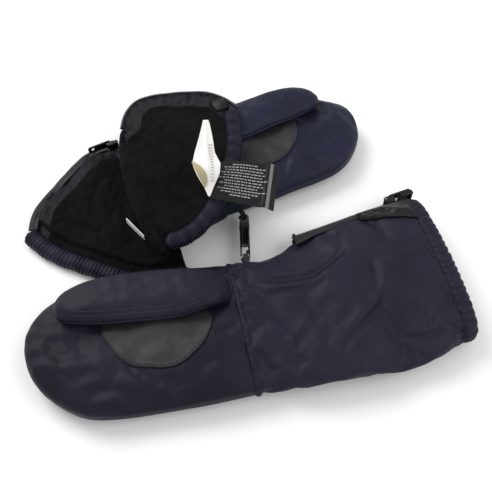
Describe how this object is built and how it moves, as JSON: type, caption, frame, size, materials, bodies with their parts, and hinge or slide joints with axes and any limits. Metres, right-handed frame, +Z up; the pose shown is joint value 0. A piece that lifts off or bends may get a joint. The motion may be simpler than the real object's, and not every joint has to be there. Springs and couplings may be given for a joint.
{
  "type": "winter mittens",
  "caption": "Pair of padded winter mittens with long zipped cuffs, folding thumbs, fleece lining and a joining clip; one cuff is open",
  "frame": {"origin": "on the floor, under the middle of the pair's overall box", "axes": "+X runs from the right mitten's finger tips to its hem, along the pair's longest side; +Z is up, out of the palms; +Y points from the right mitten to the left one"},
  "size_m": [0.273, 0.2394, 0.0645],
  "materials": {
    "shell_cloth": "smooth water-repellent woven shell with a soft sheen",
    "fleece": "brushed fleece lining",
    "wadding": "polyester wadding",
    "elastic": "covered flat elastic",
    "grip_patch": "pebbled coated grip patch",
    "zip_tape": "woven zip tape",
    "zip_coil": "moulded coil",
    "zip_metal": "painted die-cast slider and pull",
    "webbing": "narrow ribbed webbing",
    "clip_plastic": "moulded acetal, slightly glossy",
    "satin_label": "black satin ribbon",
    "white_label": "white printed taffeta"
  },
  "bodies": {
    "right_cuff": {"right_cuff_shell": "shell_cloth", "right_cuff_wadding": "wadding", "right_cuff_lining": "fleece", "right_wrist_elastic": "elastic", "right_hem_elastic": "elastic", "right_hem_band": "shell_cloth", "right_zip_tape_back": "zip_tape", "right_zip_tape_palm": "zip_tape", "right_zip_coil": "zip_coil", "right_zip_stops": "zip_coil", "right_zip_garage": "shell_cloth", "right_wrist_loop": "webbing"},
    "right_hand": {"right_hand_shell": "shell_cloth", "right_hand_wadding": "wadding", "right_hand_lining": "fleece", "right_palm_patch": "grip_patch", "right_thumb_gusset": "shell_cloth"},
    "right_thumb": {"right_thumb_shell": "shell_cloth", "right_thumb_wadding": "wadding", "right_thumb_lining": "fleece"},
    "right_slider": {"right_zip_slider": "zip_metal"},
    "right_pull": {"right_zip_pull": "zip_metal"},
    "clip": {"clip_body": "clip_plastic"},
    "gate": {"clip_gate": "clip_plastic"},
    "left_thumb": {"left_thumb_shell": "shell_cloth", "left_thumb_wadding": "wadding", "left_thumb_lining": "fleece"},
    "left_flap": {"left_flap_shell": "shell_cloth", "left_flap_wadding": "wadding", "left_flap_lining": "fleece", "left_flap_hem_band": "shell_cloth", "left_flap_hem_elastic": "elastic", "left_flap_zip_tape": "zip_tape", "left_flap_zip_coil": "zip_coil", "left_zip_garage": "shell_cloth"},
    "left_slider": {"left_zip_slider": "zip_metal"},
    "left_pull": {"left_zip_pull": "zip_metal"},
    "care_tag": {"care_label": "satin_label"},
    "size_tag": {"size_label": "white_label"},
    "left_mitten": {"left_hand_shell": "shell_cloth", "left_hand_wadding": "wadding", "left_hand_lining": "fleece", "left_palm_patch": "grip_patch", "left_thumb_gusset": "shell_cloth", "left_cuff_shell": "shell_cloth", "left_cuff_wadding": "wadding", "left_cuff_lining": "fleece", "left_wrist_elastic": "elastic", "left_back_shell": "shell_cloth", "left_back_wadding": "wadding", "left_back_lining": "fleece", "left_back_hem_band": "shell_cloth", "left_back_hem_elastic": "elastic", "left_back_zip_tape": "zip_tape", "left_back_zip_coil": "zip_coil", "left_zip_stop": "zip_coil", "left_wrist_loop": "webbing", "lining_tag": "white_label"}
  },
  "joints": [
    {"name": "right_wrist_flex", "type": "hinge", "parent": "right_cuff", "child": "right_hand", "pos_m": [-0.00649, -0.07236, 0.0252], "axis": [0, 1, 0], "range_deg": [0, 50], "stiffness_Nm_per_rad": 0.02},
    {"name": "right_thumb_lift", "type": "hinge", "parent": "right_hand", "child": "right_thumb", "pos_m": [-0.03349, -0.04436, 0.0367], "axis": [0, 1, 0], "range_deg": [0, 65], "stiffness_Nm_per_rad": 0.005},
    {"name": "right_zip_travel", "type": "slide", "parent": "right_cuff", "child": "right_slider", "axis": [-0.9843, -0.1763, 0], "range_m": [0, 0.066]},
    {"name": "right_pull_swing", "type": "hinge", "parent": "right_slider", "child": "right_pull", "pos_m": [0.11424, 0.00229, 0.0125], "axis": [0, 0, 1], "range_deg": [0, 140]},
    {"name": "clip_swivel", "type": "hinge", "parent": "right_cuff", "child": "clip", "pos_m": [0.00751, -0.02176, 0.0085], "axis": [0, 0, 1], "range_deg": [-6, 0]},
    {"name": "clip_gate_press", "type": "hinge", "parent": "clip", "child": "gate", "pos_m": [0.00657, -0.01241, 0.0085], "axis": [0, 0, 1], "range_deg": [0, 20], "stiffness_Nm_per_rad": 0.002},
    {"name": "left_mitten_swivel", "type": "hinge", "parent": "clip", "child": "left_mitten", "pos_m": [0.0135, 0.00924, 0.0085], "axis": [0, 0, 1], "range_deg": [-8, 0]},
    {"name": "left_thumb_lift", "type": "hinge", "parent": "left_mitten", "child": "left_thumb", "pos_m": [0.02897, 0.08951, 0.0367], "axis": [0.2756, -0.9613, 0], "range_deg": [0, 60], "stiffness_Nm_per_rad": 0.005},
    {"name": "left_cuff_fold", "type": "hinge", "parent": "left_mitten", "child": "left_flap", "pos_m": [-0.05688, 0.08778, 0.0255], "axis": [0.134, -0.991, 0], "range_deg": [0, 165]},
    {"name": "left_zip_travel", "type": "slide", "parent": "left_mitten", "child": "left_slider", "axis": [-0.9613, -0.2756, 0], "range_m": [0, 0.006]},
    {"name": "left_pull_swing", "type": "hinge", "parent": "left_slider", "child": "left_pull", "pos_m": [-0.06873, 0.09645, 0.0135], "axis": [0, 0, -1], "range_deg": [0, 120]},
    {"name": "care_label_lift", "type": "hinge", "parent": "left_flap", "child": "care_tag", "pos_m": [-0.00395, 0.01825, 0.03983], "axis": [-0.4137, -0.9073, -0.0747], "range_deg": [0, 60], "stiffness_Nm_per_rad": 0.0005},
    {"name": "size_label_lean", "type": "hinge", "parent": "left_flap", "child": "size_tag", "pos_m": [-0.01834, 0.01374, 0.04036], "axis": [0.9992, -0.04, 0], "range_deg": [-19, 0], "stiffness_Nm_per_rad": 0.0005}
  ],
  "couplings": [
    {"joint": "size_label_lean", "follows": "left_cuff_fold", "ratio": -0.115}
  ]
}
